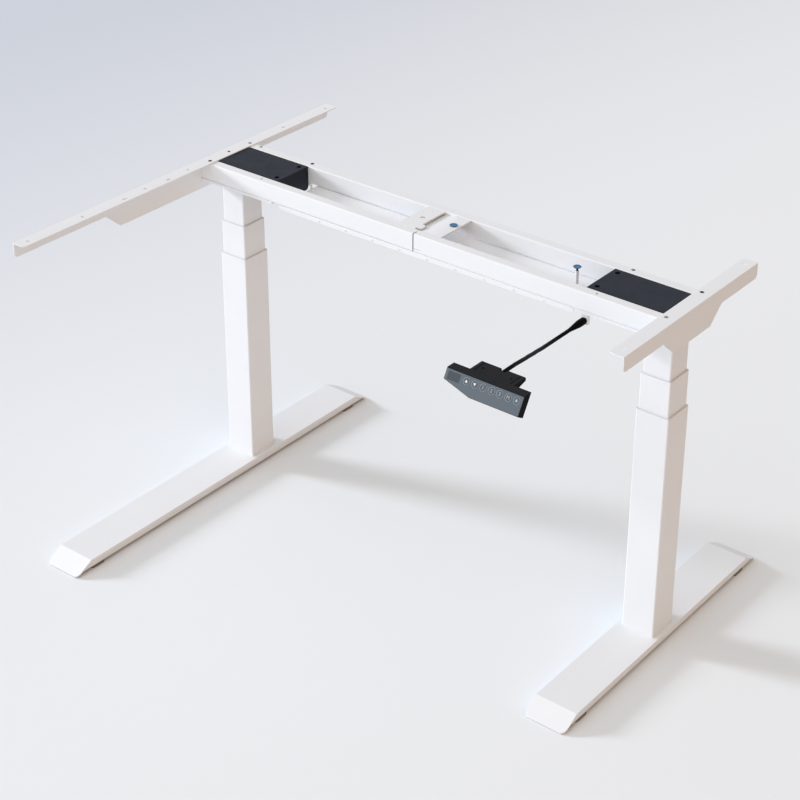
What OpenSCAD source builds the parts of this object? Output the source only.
// Standing desk frame: two telescopic legs, a crossbar of adjustable width, side brackets and a handset.
// X runs across the desk, Y from the front to the back, Z up from the floor.

/* [Legs] */
// Distance between the centres of the two legs
leg_pitch = 1040; // [1000:10:1200]
// Outside width of the square outer tube
outer_w = 70; // [66:1:90]
// Wall of all the leg tubes
tube_wall = 2; // [1.5:0.25:2.25]
// Outside corner radius of the leg tubes
tube_r = 2.5; // [2.5:0.5:5]
// Length of the outer tube
outer_len = 486.5; // [470:0.5:560]
// Length of mid tube that shows above the outer tube
mid_show = 75; // [72:1:110]
// Length of inner tube that shows above the mid tube
inner_show = 99.8; // [90:0.1:120]
// How far each stage can sink from the height shown
down_travel = 70; // [50:1:70]
// How far each stage can rise from the height shown
up_travel = 255; // [200:1:255]
// Wall of the plastic glides between the tubes
glide_t = 0.9; // [0.8:0.1:1.2]
// Depth of the plastic glides inside the tubes
glide_depth = 40; // [25:1:60]
// Thickness of the glide's rim on top of a tube
rim_t = 1.5; // [1:0.1:2]
// Thickness of the plate welded into the foot of the outer tube
base_t = 8; // [6:0.5:10]
// Thickness of the plate welded into the foot of the mid tube
mid_plate_t = 6; // [5:0.5:8]
// Thickness of the plate welded on the inner tube
head_t = 5.5; // [4:0.5:7]
// Reach of that plate from the leg's centre towards the middle of the desk
head_in = 64; // [60:1:70]
// Reach of the plate's two arms under the rails
arm_reach = 148.5; // [146:0.5:152]

/* [Feet] */
// Width of each foot
foot_w = 90; // [86:1:100]
// Height of the foot's flat top above the floor
foot_h = 25; // [22:0.5:30]
// Sheet thickness of the feet
foot_t = 2.5; // [2:0.1:3]
// Flat top of the left foot in front of the leg
left_foot_front = 533; // [450:1:540]
// Flat top of the right foot in front of the leg
right_foot_front = 310; // [280:1:350]
// Flat top of both feet behind the leg
foot_back = 310; // [280:1:350]
// Horizontal length of the sloping end flaps
flap_run = 41.5; // [35:0.5:50]
// Height of the flap's lower edge above the floor
flap_tip = 3.2; // [3:0.1:4]
// Corner radius of the flaps, seen from above
flap_r = 13; // [8:0.5:16]
// Depth of the top sheet's folded lip
lip_h = 9.5; // [7:0.5:11]
// Height of the side walls above the floor
wall_gap = 7; // [7:0.5:8]
// Length of a levelling pad along the foot
pad_len = 38; // [30:1:45]
// Width of a levelling pad across the foot
pad_w = 86; // [70:1:86]
// Distance from a levelling pad's centre to the end of the foot's flat top
pad_in = 22; // [20:1:40]
// Diameter of the levelling screws and the foot bolts
foot_bolt_d = 8; // [6:0.5:8]
// Spacing of the foot bolts, both ways
foot_bolt_pitch = 44; // [36:1:44]

/* [Lift drive] */
// Diameter of the upper spindle
spindle_d = 14; // [12:0.5:14]
// Radial space between the turning pieces of the drive
drive_gap = 1.5; // [1:0.1:1.5]
// Wall of the hollow lower screw and of the nut tube
drive_wall = 2.5; // [2:0.1:2.5]
// Height of the two nuts
nut_h = 12; // [10:1:14]
// Radius of the lower nut's flange
nut_flange_r = 20; // [18:0.5:22]
// Radius of the gear motor's body
motor_r = 16; // [14:0.5:16]
// Length of the motor from the gearbox to its end cap
motor_len = 102; // [90:1:102]
// Length of the gearbox towards the middle of the desk
gear_in = 30; // [24:1:34]

/* [Crossbar] */
// Height of the rails
rail_h = 38; // [36:1:45]
// Width of each rail
rail_w = 22; // [20:1:26]
// Wall of the rails
rail_wall = 1.8; // [1.5:0.1:2.2]
// Corner radius of the rails
rail_r = 2.5; // [2.2:0.1:3.5]
// Clear distance between the front rail and the rear rail
rail_gap = 96; // [92:1:110]
// Reach of the rails past the leg's centre
rail_over = 48; // [44:1:56]
// Place of the joint between the left and right rails, left of the middle
joint_off = 7.5; // [0:0.5:12]
// Gap at the joint of the front rails
joint_gap = 3; // [2:0.5:5]
// Width of the key that closes the gap at the inner edge of the rail
joint_key_w = 6; // [3:0.5:8]
// Length of the relief slit at the joint, in the front of the right rail
relief_len = 16; // [10:0.5:20]
// Height of the relief slit above the bottom of the rail
relief_up = 6.5; // [5:0.5:9]
// Length of the inner tongues inside the left rails
tongue_left = 432; // [380:1:440]
// Length of the inner tongues inside the right rails
tongue_right = 106; // [80:1:140]
// Wall of the inner tongues
tongue_wall = 2; // [1.5:0.1:2.5]
// Thickness of the tie plates
tie_t = 3; // [2:0.1:4]
// Width of the left tie plate
left_tie_w = 42; // [36:1:60]
// Width of the right tie plate's flat top
right_tie_w = 34; // [28:1:45]
// Length of the slope that leads the right tie plate down under the left one
tie_slope = 30; // [26:1:32]
// Drop of that slope
tie_drop = 7; // [5:0.5:10]
// Length of the right tie plate under the left one
tie_tuck = 20; // [10:1:30]
// Distance from the joint to the left tie plate
left_tie_gap = 10.5; // [8:0.5:20]
// Distance from the joint to the right tie plate
right_tie_gap = 16; // [15:0.5:18]
// Depth of the tray's side lips under the rails
tray_h = 9.8; // [8:0.1:14]
// Sheet thickness of the tray
tray_t = 1.5; // [1:0.1:2]
// Spacing of the tray's screws
tray_pitch = 67.7; // [60:0.1:69]
// Number of tray screws
tray_screw_count = 9; // [3:2:9]
// Radius of the tray screws' heads
tray_screw_r = 2.1; // [2:0.1:2.8]
// Radius of the round lock knobs
knob_r = 8; // [7:0.1:9]
// Place of the left lock knob, right of the middle
left_knob_x = 31; // [28:1:34]
// Distance from the right lock knob to the tray's right end
right_knob_in = 45; // [30:1:120]

/* [Covers] */
// Reach of the motor covers from the leg's centre towards the middle
cover_in = 145; // [140:1:150]
// Reach of the motor covers from the leg's centre outwards
cover_out = 16; // [13:1:18]
// Depth of the covers' inner ends below the rails
cover_drop = 13.3; // [10:0.1:16]
// Wall of the motor covers
cover_t = 2; // [1.5:0.1:2]
// Gap between a cover and the rails
cover_gap = 1; // [0.5:0.1:2]
// Corner radius of the covers' lower end corners
cover_r = 7; // [4:0.5:9]
// Distance from the end of a cover to its screws
cover_screw_in = 13; // [11:0.5:14]
// Spacing of the two screws of a cover
cover_screw_pitch = 68; // [60:1:72]

/* [Side brackets] */
// Thickness of the brackets' sheet
bracket_t = 2; // [1.5:0.1:3]
// Width of the brackets' top flange
flange_w = 31; // [29:1:40]
// Half length of the left bracket
left_bracket_half = 455.5; // [448:0.5:470]
// Half length of the right bracket
right_bracket_half = 229; // [220:1:260]
// Depth of the brackets' arms below the top
arm_h = 31.3; // [25:0.1:36]
// Depth of the brackets' deep middle below the top
deep_h = 64.3; // [50:0.1:66]
// Half length of the left bracket's deep middle
left_deep_half = 182; // [150:1:200]
// Half length of the right bracket's deep middle
right_deep_half = 63; // [55:1:90]
// Length of the slope from the deep middle to the arm
deep_slope = 38; // [30:1:45]
// Corner radius of the brackets
bracket_r = 9; // [5:0.5:10]
// Distance from the leg's centre to the bolts through the rails
rail_bolt_y = 61; // [58:0.5:62]
// Diameter of the bolts through the rails
rail_bolt_d = 6; // [5:0.5:6]
// Radius of the heads of those bolts
rail_head_r = 4.3; // [4:0.1:5]
// Distance from the bracket's outer face to the bolts through the rails
rail_bolt_in = 20.5; // [18:0.5:21]
// Distance from the bracket's outer face to the desktop holes
desk_hole_in = 17; // [14:0.5:18]
// Radius of the desktop holes
desk_hole_r = 4; // [3:0.1:4.5]
// Distance of the desktop holes from the ends of the brackets
desk_hole_end = 23; // [18:0.5:26]
// Length of the spare slots in the left bracket
slot_len = 14; // [10:0.5:16]

/* [Handset and control box] */
// Length of the handset
handset_w = 158; // [156:1:170]
// Distance from the handset's left end to the right leg's centre
handset_in = 163; // [150:1:175]
// Distance from the handset's upper front edge to the leg's centre
handset_front = 441; // [430:1:450]
// Height of the handset's sloping face, measured along it
face_h = 35; // [33:0.5:40]
// Height of the face at the handset's left end
face_left_h = 20; // [19:0.5:26]
// Length of the slanting lower edge of the face
slant_len = 58; // [50:1:70]
// Thickness of the handset's front plate
front_t = 1.2; // [1:0.1:1.6]
// Depth of the handset from the upper front edge to its back
handset_depth = 19.5; // [17:0.5:22]
// Width of the handset's mounting block
block_w = 90; // [80:1:100]
// Depth of the mounting block behind the handset
block_depth = 36.9; // [30:0.1:45]
// Radius of the seven keys
key_r = 5.2; // [4:0.1:5.6]
// Spacing of the keys
key_pitch = 16.9; // [16:0.1:17]
// Travel of the keys
key_travel = 0.4; // [0.3:0.1:0.6]
// Width of the display window
display_w = 25; // [20:0.5:26]
// Height of the display window
display_h = 14.5; // [10:0.5:15]
// Diameter of the handset's cable
cable_d = 7.2; // [6:0.1:7.2]
// Length of the control box
box_len = 288; // [240:1:300]
// Depth of the control box from front to back
box_depth = 75; // [60:1:75]
// Height of the control box
box_h = 26.5; // [24:0.5:30]
// Distance from the control box to the tray's right end
box_in = 4; // [2:1:20]
// Width of the handset's socket block
socket_w = 13; // [12:0.5:16]
// Distance from the middle of the socket to the end of the arm that carries it
socket_in = 15.5; // [12:0.5:20]

/* [Hidden] */
$fn = 48;
// clearances: sliding tubes, turning pieces, loose pieces, and the overrun of cuts
slide_fit = 0.1;
turn_fit = 0.05;
loose = 0.3;
over = 1;

// legs
leg_x = leg_pitch / 2;
mid_w = outer_w - 2 * (tube_wall + glide_t + slide_fit);
inner_w = mid_w - 2 * (tube_wall + glide_t + slide_fit);
base_top = foot_h + base_t;
outer_top = foot_h + outer_len + rim_t;
mid_top = outer_top + mid_show;
head_z = mid_top + inner_show;
arm_end = leg_x - arm_reach;
mid_lift = 8;
mid_z = base_top + mid_lift + down_travel;
inner_lift = 15;
inner_z = mid_z + mid_plate_t + nut_h + inner_lift + down_travel;

// lift drive
spindle_r = spindle_d / 2;
screw_in_r = spindle_r + drive_gap;
screw_r = screw_in_r + drive_wall;
nut_in_r = screw_r + drive_gap;
nut_r = nut_in_r + drive_wall;
collar_h = 11;
collar_r = 12;
collar_z = head_z - loose - collar_h;
nut_lift = 16;
nut_top = collar_z - down_travel - nut_lift;
spindle_bite = 2;
spindle_z = nut_top - nut_h - up_travel + spindle_bite;
nut_z = mid_z + mid_plate_t;
screw_bite = 8;
screw_top = nut_z + nut_h + up_travel + screw_bite;
screw_z = base_top + loose;
pin_h = 12;
hub_depth = 10;

// crossbar
rail_z = head_z + head_t;
rail_top = rail_z + rail_h;
top_z = rail_top + bracket_t;
rail_y = (rail_gap + rail_w) / 2;
rail_out = rail_gap / 2 + rail_w;
rail_end = leg_x + rail_over;
joint_left = -joint_off - joint_gap / 2;
joint_right = -joint_off + joint_gap / 2;
tongue_w = rail_w - 2 * rail_wall;
tongue_h = rail_h - 2 * rail_wall;
tongue_r = rail_r - rail_wall;
tongue_end = joint_right - tongue_left;
tie_half = rail_gap / 2;
ear_reach = 10.5;
ear_w = 18;
ear_in = 5;
ear_r = 6;
left_tie_x = joint_left - left_tie_gap;
right_tie_x = joint_right + right_tie_gap;
tie_hole_r = 6;
tie_hole_in = 17;
tray_z = rail_z - tray_h;
cover_end = leg_x - cover_in;
tray_right_gap = 13;
tray_left_gap = 23;
tray_right = cover_end - tray_right_gap;
tray_left = -cover_end + tray_left_gap;
floor_z = rail_z - loose - tray_t;
tray_screw_up = 3.5;
tray_screw_z = tray_z + tray_screw_up;
tray_screw_off = 25.2;
tray_head_t = 1.4;
tray_shank_r = 1.5;
tray_shank_len = 5;
knob_t = 2;
knob_y = 8;
knob_top_gap = 0.3;
knob_z = top_z - knob_top_gap - knob_t;
stud_r = 2;
stud_len = 12;
post_r = 3.5;
post_gap = 7;
right_knob_x = tray_right - right_knob_in;
tab_y = 28;
tab_len = 5;
tab_rise = 12.5;
relief_h = 1;
rail_hole_r = 4.2;
rail_hole_off = 4.2;
plug_hole_r = 2.4;
rail_hole_in = 116;
left_front_hole_in = 113;
left_rear_hole_in = 143;
bolt_x = rail_end + bracket_t - rail_bolt_in;

// covers and motors
cover_half = tie_half - cover_gap;
cover_low = rail_z - cover_drop;
motor_lift = 2.5;
motor_z = rail_z + motor_r + motor_lift;
gear_half = 42;
gear_out = 12;
gear_gap = 2.3;
gear_top = rail_top - cover_t - gear_gap;
yoke_t = 12;
yoke_half = 40;
yoke_h = 24;
well_r = 6;
well_floor = 1.3;
cover_screw_r = 2;
cover_head_r = 4.7;
cover_head_t = 1.2;
cover_screw_len = 14;
cover_screw_x = cover_in - cover_screw_in;

// side brackets
left_bracket_mid = -2 * rail_bolt_y;
left_bracket_front = left_bracket_half - left_bracket_mid;
bolt_len = 12;
desk_hole_2 = 293;
desk_hole_3 = 2 * rail_bolt_y;
left_hole_end = left_bracket_half - desk_hole_end;
right_hole_end = right_bracket_half - desk_hole_end;
left_hole_places = [-left_hole_end, -desk_hole_2, -desk_hole_3, 0, desk_hole_3, desk_hole_2, left_hole_end];
left_holes = [for (y = left_hole_places) left_bracket_mid + y];
left_slots = [for (n = [-3, -1]) left_bracket_mid + n * rail_bolt_y];
right_holes = [-right_hole_end, right_hole_end];

// the legs stand at this distance behind the middle of the whole frame
leg_y = (left_bracket_front - foot_back - flap_run) / 2;

// handset
handset_x = leg_x - handset_in;
handset_y = leg_y - handset_front;
face_tilt = 60;
face_inset = 0.8;
key_rise = 0.4;
key_h = 3.6;
key_row = 10.6;
key_first = 44.8;
display_x = 6.5;
display_top = 4;
display_sink = 0.2;
shell_depth = handset_depth * sin(face_tilt);
block_sink = 2.3;
block_top = top_z - block_sink;
block_h = 15.5;
block_tip = 6;
block_bite = 12;
block_off = 31;
slot_w = 13;
slot_deep = 7.4;
slot_x = 78.5;
slot_floor = 11;
mount_hole_r = 2.2;
mount_hole_in = 16;
groove_in = 8;
groove_w = 1.6;
groove_deep = 1;
block_back = handset_y + handset_depth + block_depth;

// control box
box_x = tray_right - box_in;
box_front = -20;
box_r = 4;
socket_len = 8;
socket_x = arm_end + socket_in;
plug_drop = 11.8;
plug_z = head_z - plug_drop;
socket_low = 8;
plug_len = 48;
plug_r = 7;
nose_r = 4.5;
nose_len = 6;
inlet_w = 28;
inlet_h = 19;
inlet_depth = 14;
pin_w = 4;
pin_t = 2;
pin_len = 11;
pin_gap = 7;

// cable route from the handset to its plug
CABLE = [
    [434.5, -279, 727], [434.5, -268, 727], [434, -253, 726.5], [432, -238, 724.5], [429, -223, 721],
    [425.5, -208, 717], [421.5, -193, 712.5], [417, -178, 708], [412.5, -163, 703], [408.5, -148, 698.5],
    [404, -133, 694], [400, -118, 689.5], [396.5, -103, 685.5], [393, -88, 682], [390, -73, 679],
    [388, -58, 677], [387, -43, 676], [387, -28, 676], [387, -5, 676]
];
CABLE_SIDES = 12;

// Shapes used by several pieces

module at_left() {
    translate([-leg_x, leg_y, 0]) children();
}

// the right leg mirrors the left one, so X points to the middle of the desk in both
module at_right() {
    translate([leg_x, leg_y, 0]) mirror([1, 0, 0]) children();
}

module rounded(w, d, r) {
    square([w - 2 * r, d], center = true);
    square([w, d - 2 * r], center = true);
    for (sx = [-1, 1], sy = [-1, 1])
        translate([sx * (w / 2 - r), sy * (d / 2 - r)]) circle(r);
}

module square_tube(w, d, wall, r, h) {
    difference() {
        linear_extrude(h) rounded(w, d, r);
        translate([0, 0, -over]) linear_extrude(h + 2 * over) rounded(w - 2 * wall, d - 2 * wall, r - wall);
    }
}

// a box given by its two corners
module block(a, b) {
    translate(a) cube(b - a);
}

// Feet

module foot_sheet(front, back) {
    drop = foot_h - flap_tip;
    m = drop / flap_run;
    s = sqrt(1 + m * m);
    bend = foot_t * (s - 1) / m;
    tip_in = foot_t * m / s;
    tip_down = foot_t / s;
    rotate([90, 0, 90]) translate([0, 0, -foot_w / 2]) linear_extrude(foot_w)
        polygon([
            [-front - flap_run, flap_tip], [-front, foot_h], [back, foot_h], [back + flap_run, flap_tip],
            [back + flap_run - tip_in, flap_tip - tip_down], [back - bend, foot_h - foot_t],
            [-front + bend, foot_h - foot_t], [-front - flap_run + tip_in, flap_tip - tip_down]
        ]);
}

// Side of the folded channel, from x0 to x1, down to low and out under both flaps
module foot_side(front, back, x0, x1, low) {
    reach = flap_run * (foot_h - low) / (foot_h - flap_tip);
    rotate([90, 0, 90]) translate([0, 0, x0]) linear_extrude(x1 - x0)
        polygon([[-front - reach, low], [-front, foot_h], [back, foot_h], [back + reach, low]]);
}

module foot(front, back) {
    nut_w = 3.5 * foot_bolt_d;
    color("#f2f3f5") difference() {
        union() {
            intersection() {
                foot_sheet(front, back);
                translate([0, (back - front) / 2, 0]) linear_extrude(foot_h + over)
                    rounded(foot_w, front + back + 2 * flap_run, flap_r);
            }
            for (s = [-1, 1]) {
                mirror([s < 0 ? 1 : 0, 0, 0]) {
                    foot_side(front, back, foot_w / 2 - foot_t, foot_w / 2, foot_h - lip_h);
                    foot_side(front, back, foot_w / 2 - 2 * foot_t, foot_w / 2 - foot_t, wall_gap);
                }
            }
            for (y = [-front + pad_in, back - pad_in])
                block([-nut_w / 2, y - nut_w / 2, foot_h - foot_t - foot_bolt_d],
                    [nut_w / 2, y + nut_w / 2, foot_h]);
        }
        for (y = [-front + pad_in, back - pad_in])
            translate([0, y, 0]) cylinder(h = foot_h - foot_t, r = foot_bolt_d / 2 + turn_fit);
        foot_bolt_places() cylinder(h = foot_h + over, r = foot_bolt_d / 2 + turn_fit);
    }
}

module foot_bolt_places() {
    for (sx = [-1, 1], sy = [-1, 1])
        translate([sx * foot_bolt_pitch / 2, sy * foot_bolt_pitch / 2, 0]) children();
}

module foot_bolts() {
    head_h = 0.6 * foot_bolt_d;
    color("#8c8f94") foot_bolt_places() {
        translate([0, 0, foot_h - foot_t - head_h]) {
            cylinder(h = head_h, r = 0.8 * foot_bolt_d);
            cylinder(h = head_h + foot_t + base_t, r = foot_bolt_d / 2);
        }
    }
}

module leveller(y) {
    color("#1d1e20") translate([0, y, 0]) {
        linear_extrude(wall_gap - loose) rounded(pad_w, pad_len, pad_len / 5);
        cylinder(h = foot_h - foot_t - loose, r = foot_bolt_d / 2);
    }
}

// Leg tubes

module outer_tube() {
    color("#f2f3f5") translate([0, 0, foot_h]) difference() {
        linear_extrude(outer_len) rounded(outer_w, outer_w, tube_r);
        translate([0, 0, base_t]) linear_extrude(outer_len)
            rounded(outer_w - 2 * tube_wall, outer_w - 2 * tube_wall, tube_r - tube_wall);
        translate([0, 0, -over]) foot_bolt_places()
            cylinder(h = base_t + 2 * over, r = foot_bolt_d / 2 + turn_fit);
    }
    color("#8c8f94") translate([0, 0, base_top - base_t / 2])
        cylinder(h = base_t / 2 + pin_h, r = screw_in_r - turn_fit);
}

module mid_tube() {
    color("#f2f3f5") translate([0, 0, mid_z]) difference() {
        linear_extrude(mid_top - rim_t - mid_z) rounded(mid_w, mid_w, tube_r);
        translate([0, 0, mid_plate_t]) linear_extrude(mid_top - mid_z)
            rounded(mid_w - 2 * tube_wall, mid_w - 2 * tube_wall, tube_r - tube_wall);
        translate([0, 0, -over]) cylinder(h = mid_plate_t + 2 * over, r = screw_r + drive_gap);
    }
}

module inner_tube() {
    plate_half = rail_out;
    color("#f2f3f5") {
        translate([0, 0, inner_z]) square_tube(inner_w, inner_w, tube_wall, tube_r, head_z - inner_z);
        difference() {
            block([-rail_over, -plate_half, head_z], [arm_reach, plate_half, rail_z]);
            block([head_in, -tie_half, head_z - over], [arm_reach + over, tie_half, rail_z + over]);
            translate([0, 0, head_z - over]) cylinder(h = head_t + 2 * over, r = spindle_r + turn_fit);
        }
    }
}

// a thin plastic sleeve in the mouth of the tube of outside width w, with a rim that ends at this height
module glide(w, top) {
    sleeve_w = w - 2 * tube_wall;
    hole_w = sleeve_w - 2 * glide_t;
    color("#d9dbde") translate([0, 0, top - rim_t]) difference() {
        union() {
            translate([0, 0, -glide_depth]) linear_extrude(glide_depth + rim_t)
                rounded(sleeve_w, sleeve_w, tube_r - tube_wall);
            linear_extrude(rim_t) rounded(w, w, tube_r);
        }
        translate([0, 0, -glide_depth - over]) linear_extrude(glide_depth + rim_t + 2 * over)
            rounded(hole_w, hole_w, tube_r - slide_fit);
    }
}

// Lift drive

module spindle() {
    color("#9a9da2") {
        translate([0, 0, spindle_z]) cylinder(h = rail_z + hub_depth - loose - spindle_z, r = spindle_r);
        translate([0, 0, collar_z]) cylinder(h = collar_h, r = collar_r);
    }
}

module lower_screw() {
    color("#9a9da2") difference() {
        translate([0, 0, screw_z]) cylinder(h = screw_top - screw_z, r = screw_r);
        translate([0, 0, screw_z - over]) cylinder(h = screw_top - screw_z + 2 * over, r = screw_in_r);
    }
}

module nut_tube() {
    color("#c9b27a") difference() {
        union() {
            translate([0, 0, nut_z]) cylinder(h = nut_h, r = nut_flange_r);
            translate([0, 0, nut_z]) cylinder(h = nut_top - nut_z, r = nut_r);
        }
        translate([0, 0, nut_z - over]) cylinder(h = nut_h + 2 * over, r = screw_r + turn_fit);
        translate([0, 0, nut_z + nut_h]) cylinder(h = nut_top - nut_z - 2 * nut_h, r = nut_in_r);
        translate([0, 0, nut_top - nut_h - over]) cylinder(h = nut_h + 2 * over, r = spindle_r + turn_fit);
    }
}

module motor() {
    yoke_x = cover_screw_x;
    color("#5c6066") difference() {
        union() {
            block([-gear_out, -gear_half, rail_z], [gear_in, gear_half, gear_top]);
            translate([gear_in - over, 0, motor_z]) rotate([0, 90, 0])
                cylinder(h = motor_len + over, r = motor_r);
            block([yoke_x - yoke_t / 2, -yoke_half, gear_top - yoke_h],
                [yoke_x + yoke_t / 2, yoke_half, gear_top]);
        }
        translate([0, 0, rail_z - over]) cylinder(h = hub_depth + over, r = spindle_r + turn_fit);
        cover_screw_places() cylinder(h = cover_screw_len, r = cover_screw_r + turn_fit);
    }
}

// the places of the two screws of a cover, where they end in the motor's yoke
module cover_screw_places() {
    for (s = [-1, 1])
        translate([cover_screw_x, s * cover_screw_pitch / 2, gear_top - cover_screw_len + over]) children();
}

module cover() {
    end_w = 2 * cover_half;
    color("#33363b") difference() {
        union() {
            difference() {
                union() {
                    block([-cover_out, -cover_half, rail_z + loose],
                        [head_in + cover_t, cover_half, rail_top]);
                    intersection() {
                        block([head_in + loose, -cover_half, cover_low], [cover_in, cover_half, rail_top]);
                        rotate([90, 0, 90]) linear_extrude(cover_in)
                            translate([0, (cover_low + rail_top) / 2 + cover_r])
                                rounded(end_w, rail_top - cover_low + 2 * cover_r, cover_r);
                    }
                }
                block([-cover_out - over, -cover_half + cover_t, cover_low - over],
                    [cover_in - cover_t, cover_half - cover_t, rail_top - cover_t]);
            }
            for (s = [-1, 1])
                translate([cover_screw_x, s * cover_screw_pitch / 2, gear_top])
                    cylinder(h = rail_top - gear_top, r = well_r);
        }
        for (s = [-1, 1])
            translate([cover_screw_x, s * cover_screw_pitch / 2, 0]) {
                translate([0, 0, gear_top - over])
                    cylinder(h = well_floor + 2 * over, r = cover_screw_r + turn_fit);
                translate([0, 0, gear_top + well_floor])
                    cylinder(h = rail_h, r = cover_head_r + loose);
            }
    }
}

module cover_screws() {
    color("#2a2b2e") {
        cover_screw_places() translate([0, 0, over])
            cylinder(h = cover_screw_len - 2 * over + well_floor, r = cover_screw_r);
        for (s = [-1, 1])
            translate([cover_screw_x, s * cover_screw_pitch / 2, gear_top + well_floor])
                cylinder(h = cover_head_t, r = cover_head_r);
    }
}

// Side brackets

module bracket_web(mid, half, deep) {
    arm_z = top_z - arm_h;
    low_z = top_z - deep_h;
    rotate([90, 0, 90]) linear_extrude(bracket_t) {
        difference() {
            translate([mid - half, arm_z]) square([2 * half, arm_h]);
            for (s = [-1, 1])
                translate([mid + s * half, arm_z]) difference() {
                    square(2 * bracket_r, center = true);
                    translate([-s * bracket_r, bracket_r]) circle(bracket_r);
                }
        }
        polygon([
            [mid - deep - deep_slope, arm_z], [mid - deep, low_z], [mid + deep, low_z],
            [mid + deep + deep_slope, arm_z], [mid + deep + deep_slope, arm_z + bracket_r],
            [mid - deep - deep_slope, arm_z + bracket_r]
        ]);
    }
}

module bracket_flange(mid, half) {
    linear_extrude(bracket_t) difference() {
        translate([0, mid - half]) square([flange_w, 2 * half]);
        for (s = [-1, 1])
            translate([flange_w, mid + s * half]) difference() {
                square(2 * bracket_r, center = true);
                translate([-bracket_r, -s * bracket_r]) circle(bracket_r);
            }
    }
}

module slot(x, y) {
    w = rail_bolt_d + 2 * loose;
    translate([x, y, 0]) {
        cube([w, slot_len - w, 3 * bracket_t], center = true);
        for (s = [-1, 1])
            translate([0, s * (slot_len - w) / 2, -1.5 * bracket_t]) cylinder(h = 3 * bracket_t, d = w);
    }
}

module bracket(mid, half, deep, holes, slots) {
    color("#f2f3f5") translate([-rail_over - bracket_t, 0, 0]) difference() {
        union() {
            bracket_web(mid, half, deep);
            translate([0, 0, top_z - bracket_t]) bracket_flange(mid, half);
        }
        translate([0, 0, top_z - bracket_t]) {
            for (y = holes)
                translate([desk_hole_in, y, -over]) cylinder(h = bracket_t + 2 * over, r = desk_hole_r);
            for (s = [-1, 1])
                translate([rail_bolt_in, s * rail_bolt_y, 0])
                    cylinder(h = bracket_t, r1 = rail_bolt_d / 2 + turn_fit, r2 = rail_head_r + turn_fit);
            for (y = slots)
                slot(rail_bolt_in, y);
        }
    }
}

module rail_bolts() {
    color("#2a2b2e") for (s = [-1, 1])
        translate([-rail_over - bracket_t + rail_bolt_in, s * rail_bolt_y, 0]) {
            translate([0, 0, rail_top]) cylinder(h = bracket_t, r1 = rail_bolt_d / 2, r2 = rail_head_r);
            translate([0, 0, rail_top - bolt_len])
                cylinder(h = bolt_len + bracket_t / 4, r = rail_bolt_d / 2);
        }
}

// Crossbar

module rail_tube(x0, x1, side) {
    translate([x0, leg_y + side * rail_y, rail_z + rail_h / 2]) rotate([90, 0, 90])
        square_tube(rail_w, rail_h, rail_wall, rail_r, x1 - x0);
}

// a round hole in the top of a rail
module top_hole(x, y, r) {
    translate([x, leg_y + y, rail_top - 2 * rail_wall]) cylinder(h = 2 * rail_wall + over, r = r);
}

module front_rail(x0, x1, hole, bolt) {
    difference() {
        rail_tube(x0, x1, -1);
        top_hole(hole, -rail_y, plug_hole_r);
        top_hole(bolt, -rail_bolt_y, rail_bolt_d / 2 + turn_fit);
    }
}

module rear_rail(x0, x1, holes, bolt) {
    difference() {
        rail_tube(x0, x1, 1);
        for (x = holes)
            top_hole(x, rail_y + rail_hole_off, rail_hole_r);
        top_hole(bolt, rail_bolt_y, rail_bolt_d / 2 + turn_fit);
    }
}

module left_front_rail() {
    color("#f2f3f5") front_rail(-rail_end, joint_left, left_front_hole_in - leg_x, -bolt_x);
}

module left_rear_rail() {
    color("#f2f3f5") rear_rail(-rail_end, joint_left, [left_rear_hole_in - leg_x, -leg_x], -bolt_x);
}

// a key on its top closes the gap of the joint for a short way, and a slit frees its lower corner
module right_front_rail() {
    key_y = leg_y - tie_half - rail_r;
    slit_z = rail_z + relief_up;
    color("#f2f3f5") difference() {
        union() {
            front_rail(joint_right, rail_end, leg_x - rail_hole_in, bolt_x);
            block([joint_left + loose, key_y - joint_key_w, rail_top - rail_wall],
                [joint_right, key_y, rail_top]);
        }
        block([joint_right - over, leg_y - rail_out - over, slit_z],
            [joint_right + relief_len, leg_y - rail_out + rail_wall + over, slit_z + relief_h]);
    }
}

module right_rear_rail() {
    color("#f2f3f5") rear_rail(joint_left + loose, rail_end, [leg_x - rail_hole_in], bolt_x);
}

// the tongue fills the right rail and runs with play in the left one
module tongue(side) {
    run_w = tongue_w - 2 * loose;
    run_h = tongue_h - 2 * loose;
    color("#a9adb3") translate([0, leg_y + side * rail_y, rail_z + rail_h / 2]) rotate([90, 0, 90])
        difference() {
            union() {
                translate([0, 0, tongue_end]) linear_extrude(tongue_left + over)
                    square([run_w, run_h], center = true);
                translate([0, 0, joint_right]) linear_extrude(tongue_right)
                    square([tongue_w - 2 * tongue_r, tongue_h], center = true);
            }
            translate([0, 0, tongue_end - over]) linear_extrude(tongue_left + tongue_right + 2 * over)
                square([run_w - 2 * tongue_wall, run_h - 2 * tongue_wall], center = true);
        }
}

module left_tie_plate() {
    color("#eceded") translate([0, leg_y, rail_top - tie_t]) difference() {
        union() {
            block([left_tie_x - left_tie_w, -tie_half, 0], [left_tie_x, tie_half, tie_t]);
            translate([left_tie_x, ear_in - tie_half + ear_w / 2, 0]) linear_extrude(tie_t)
                rounded(2 * ear_reach, ear_w, ear_r);
        }
        translate([left_tie_x - tie_hole_in, 0, -over]) cylinder(h = tie_t + 2 * over, r = tie_hole_r);
    }
}

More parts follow.
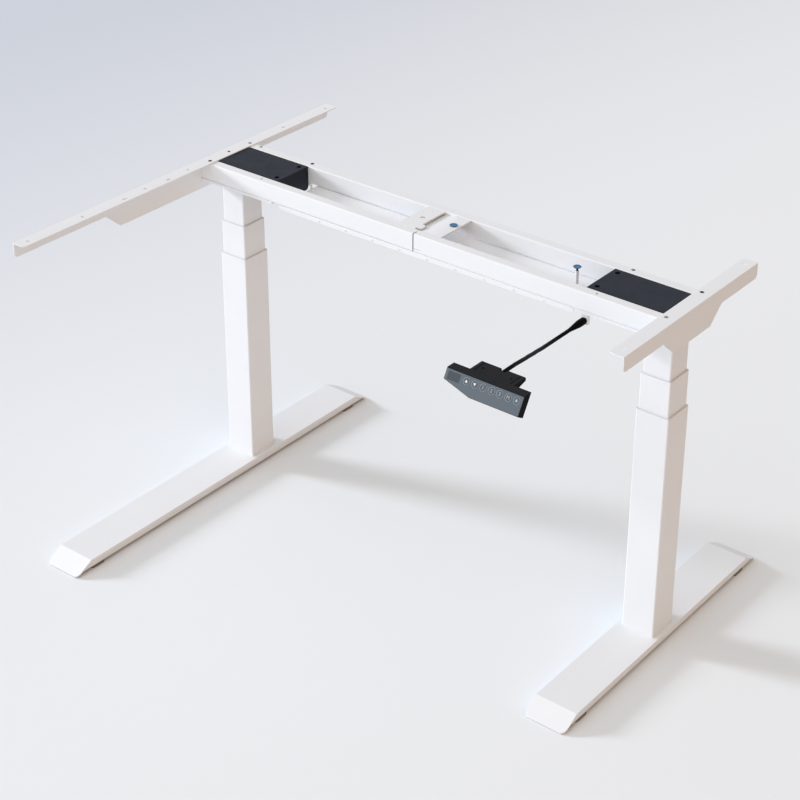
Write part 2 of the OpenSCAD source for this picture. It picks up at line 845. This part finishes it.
// its flat top is fixed between the right rails, and its sloping end runs free under the left tie plate
module right_tie_plate() {
    slope_x = right_tie_x - tie_slope;
    half = tie_half - loose;
    color("#eceded") difference() {
        translate([0, leg_y, knob_z - tie_t]) {
            block([right_tie_x, -tie_half, 0], [right_tie_x + right_tie_w, tie_half, tie_t]);
            translate([0, half, 0]) rotate([90, 0, 0]) linear_extrude(2 * half) polygon([
                [right_tie_x + over, tie_t], [right_tie_x, tie_t], [slope_x, tie_t - tie_drop],
                [slope_x - tie_tuck, tie_t - tie_drop], [slope_x - tie_tuck, -tie_drop],
                [slope_x, -tie_drop], [right_tie_x, 0], [right_tie_x + over, 0]
            ]);
        }
        translate([left_knob_x, leg_y + knob_y, knob_z - tie_t - over])
            cylinder(h = tie_t + 2 * over, r = stud_r + turn_fit);
    }
}

// a pan open downwards: its floor is fixed to the right rails and runs with play under the left ones
module tray() {
    color("#e9eaec") difference() {
        translate([0, leg_y, 0]) {
            block([tray_left, -rail_out, floor_z], [tray_right, rail_out, floor_z + tray_t]);
            block([joint_right, -rail_out, floor_z], [tray_right, rail_out, rail_z]);
            for (s = [-1, 1])
                mirror([0, s < 0 ? 1 : 0, 0])
                    block([tray_left, rail_out - tray_t, tray_z], [tray_right, rail_out, floor_z + tray_t]);
            block([tray_left, tab_y - tray_t, floor_z], [tray_left + tab_len, tab_y, rail_z + tab_rise]);
            translate([right_knob_x, knob_y, floor_z])
                cylinder(h = knob_z - post_gap - floor_z, r = post_r);
        }
        translate([right_knob_x, leg_y + knob_y, knob_z - stud_len - over])
            cylinder(h = stud_len + over, r = stud_r + turn_fit);
        tray_screw_places() cylinder(h = 2 * tray_shank_len, r = tray_shank_r + turn_fit, center = true);
    }
}

module tray_screw_places() {
    first = tray_screw_off - (tray_screw_count - 1) / 2 * tray_pitch;
    for (i = [0 : tray_screw_count - 1])
        translate([first + i * tray_pitch, leg_y - rail_out, tray_screw_z]) rotate([90, 0, 0]) children();
}

module tray_screws() {
    color("#7d8085") tray_screw_places() {
        cylinder(h = tray_head_t, r = tray_screw_r);
        translate([0, 0, -tray_shank_len]) cylinder(h = tray_shank_len + tray_head_t, r = tray_shank_r);
    }
}

module lock_knob(x) {
    color("#1f6aa5") translate([x, leg_y + knob_y, knob_z]) {
        cylinder(h = knob_t, r = knob_r);
        translate([0, 0, -stud_len]) cylinder(h = stud_len + knob_t / 2, r = stud_r);
    }
}

// Control box, socket, plug and cable

module control_box() {
    y0 = leg_y + box_front;
    z0 = floor_z - box_h;
    inlet_y = y0 + box_depth / 2;
    inlet_z = floor_z - box_h / 2;
    left = box_x - box_len;
    color("#2b2d31") {
        difference() {
            translate([box_x - box_len / 2, y0 + box_depth / 2, z0]) linear_extrude(box_h)
                rounded(box_len, box_depth, box_r);
            block([left - over, inlet_y - inlet_w / 2, inlet_z - inlet_h / 2],
                [left + inlet_depth, inlet_y + inlet_w / 2, inlet_z + inlet_h / 2]);
        }
        for (s = [-1, 0, 1])
            translate([left + inlet_depth - pin_len, inlet_y + s * pin_gap - pin_t / 2, inlet_z - pin_w / 2])
                cube([pin_len + over, pin_t, pin_w]);
    }
}

module handset_socket() {
    y0 = leg_y - rail_out;
    color("#f0f1f3") difference() {
        block([socket_x - socket_w / 2, y0, plug_z - socket_low],
            [socket_x + socket_w / 2, y0 + socket_len, head_z]);
        translate([socket_x, y0 - over, plug_z]) rotate([-90, 0, 0])
            cylinder(h = nose_len + 2 * over, r = nose_r + turn_fit);
    }
}

module handset_plug() {
    color("#17181a") translate([socket_x, leg_y - rail_out, plug_z]) rotate([90, 0, 0]) {
        translate([0, 0, -nose_len]) cylinder(h = nose_len + over, r = nose_r);
        cylinder(h = plug_len / 2, r = plug_r);
        translate([0, 0, plug_len / 2]) cylinder(h = plug_len / 2, r1 = plug_r, r2 = cable_d / 2 + over);
    }
}

function unit(v) = v / norm(v);
function side_of(t) = unit(cross(t, [0, 0, 1]));
function tangent(p, i) = unit(p[min(i + 1, len(p) - 1)] - p[max(i - 1, 0)]);
function end_tangent(p, i) = i == 0 || i == len(p) - 1 ? [0, 1, 0] : tangent(p, i);

module swept(p, r, sides) {
    rings = [for (i = [0 : len(p) - 1])
        let (t = end_tangent(p, i), a = side_of(t), b = cross(t, a))
        for (k = [0 : sides - 1]) p[i] + r * (cos(360 * k / sides) * a + sin(360 * k / sides) * b)];
    last = (len(p) - 1) * sides;
    caps = [[for (k = [0 : sides - 1]) k], [for (k = [sides - 1 : -1 : 0]) last + k]];
    walls = [for (i = [0 : len(p) - 2], k = [0 : sides - 1])
        let (n = (k + 1) % sides)
        [i * sides + k, (i + 1) * sides + k, (i + 1) * sides + n, i * sides + n]];
    polyhedron(rings, concat(caps, walls));
}

module handset_cable() {
    color("#17181a") swept(CABLE, cable_d / 2, CABLE_SIDES);
}

// Handset

// X along the handset, Y up its sloping face, Z out of the face
module on_face() {
    translate([handset_x, handset_y, top_z]) rotate([face_tilt, 0, 0]) children();
}

module face_outline(rise, inset) {
    polygon([
        [inset, rise], [handset_w - inset, rise], [handset_w - inset, -face_h + inset],
        [slant_len, -face_h + inset], [inset, -face_left_h + inset]
    ]);
}

module key_places() {
    for (i = [0 : 6])
        translate([key_first + i * key_pitch, -key_row, 0]) children();
}

module handset_housing() {
    block_x = handset_x + block_off;
    back_y = handset_y + handset_depth;
    pocket = key_h - key_rise + key_travel + display_sink;
    color("#1b1c1f") difference() {
        union() {
            intersection() {
                on_face() translate([0, 0, -shell_depth]) linear_extrude(shell_depth - front_t)
                    face_outline(shell_depth, 0);
                block([handset_x, handset_y - face_h, top_z - 2 * face_h],
                    [handset_x + handset_w, back_y + over, top_z]);
            }
            translate([block_x, back_y, block_top]) rotate([90, 0, 90]) linear_extrude(block_w) polygon([
                [-block_bite, 0], [block_depth, 0], [block_depth, -block_tip], [0, -block_h],
                [-block_bite, -block_h]
            ]);
        }
        on_face() key_places() translate([0, 0, -pocket]) cylinder(h = pocket + over, r = key_r + loose);
        block([handset_x + slot_x - slot_w / 2, block_back - slot_deep, block_top - slot_floor],
            [handset_x + slot_x + slot_w / 2, block_back + over, block_top + over]);
        for (x = [block_x + mount_hole_in, block_x + block_w - mount_hole_in])
            translate([x, back_y + block_depth / 2, block_top - block_h - over])
                cylinder(h = block_h + 2 * over, r = mount_hole_r);
        for (x = [block_x + groove_in, block_x + block_w - groove_in])
            block([x - groove_w / 2, back_y + groove_w, block_top - groove_deep],
                [x + groove_w / 2, block_back - groove_w, block_top + over]);
    }
}

module handset_front() {
    color("#5f6a72") on_face() difference() {
        translate([0, 0, -front_t]) linear_extrude(front_t) face_outline(-face_inset, face_inset);
        key_places() translate([0, 0, -front_t - over]) cylinder(h = front_t + 2 * over, r = key_r + loose);
        translate([display_x - turn_fit, -display_top - display_h - turn_fit, -front_t - over])
            cube([display_w + 2 * turn_fit, display_h + 2 * turn_fit, front_t + 2 * over]);
    }
}

module handset_display() {
    color("#2a3036") on_face() translate([display_x, -display_top - display_h, -front_t])
        cube([display_w, display_h, front_t - display_sink]);
}

module key(i) {
    color("#5f6a72") on_face() translate([key_first + i * key_pitch, -key_row, key_rise - key_h])
        cylinder(h = key_h, r = key_r);
}

at_left() foot(left_foot_front, foot_back);  // left_foot
at_right() foot(right_foot_front, foot_back);  // right_foot
at_left() leveller(-left_foot_front + pad_in);  // left_front_leveller
at_left() leveller(foot_back - pad_in);  // left_rear_leveller
at_right() leveller(-right_foot_front + pad_in);  // right_front_leveller
at_right() leveller(foot_back - pad_in);  // right_rear_leveller
at_left() foot_bolts();  // left_foot_bolts
at_right() foot_bolts();  // right_foot_bolts
at_left() outer_tube();  // left_outer_tube
at_right() outer_tube();  // right_outer_tube
at_left() mid_tube();  // left_mid_tube
at_right() mid_tube();  // right_mid_tube
at_left() inner_tube();  // left_inner_tube
at_right() inner_tube();  // right_inner_tube
at_left() glide(outer_w, outer_top);  // left_outer_glide
at_right() glide(outer_w, outer_top);  // right_outer_glide
at_left() glide(mid_w, mid_top);  // left_mid_glide
at_right() glide(mid_w, mid_top);  // right_mid_glide
at_left() spindle();  // left_spindle
at_right() spindle();  // right_spindle
at_left() lower_screw();  // left_lower_screw
at_right() lower_screw();  // right_lower_screw
at_left() nut_tube();  // left_nut_tube
at_right() nut_tube();  // right_nut_tube
at_left() motor();  // left_motor
at_right() motor();  // right_motor
at_left() cover();  // left_cover
at_right() cover();  // right_cover
at_left() cover_screws();  // left_cover_screws
at_right() cover_screws();  // right_cover_screws
at_left() bracket(left_bracket_mid, left_bracket_half, left_deep_half, left_holes, left_slots);  // left_bracket
at_right() bracket(0, right_bracket_half, right_deep_half, right_holes, []);  // right_bracket
at_left() rail_bolts();  // left_rail_bolts
at_right() rail_bolts();  // right_rail_bolts
left_front_rail();
left_rear_rail();
right_front_rail();
right_rear_rail();
tongue(-1);  // front_tongue
tongue(1);  // rear_tongue
left_tie_plate();
right_tie_plate();
tray();
tray_screws();
lock_knob(left_knob_x);  // left_lock_knob
lock_knob(right_knob_x);  // right_lock_knob
control_box();
handset_socket();
handset_housing();
handset_front();
handset_display();
key(0);  // key_up
key(1);  // key_down
key(2);  // key_one
key(3);  // key_two
key(4);  // key_three
key(5);  // key_memory
key(6);  // key_timer
handset_cable();
handset_plug();
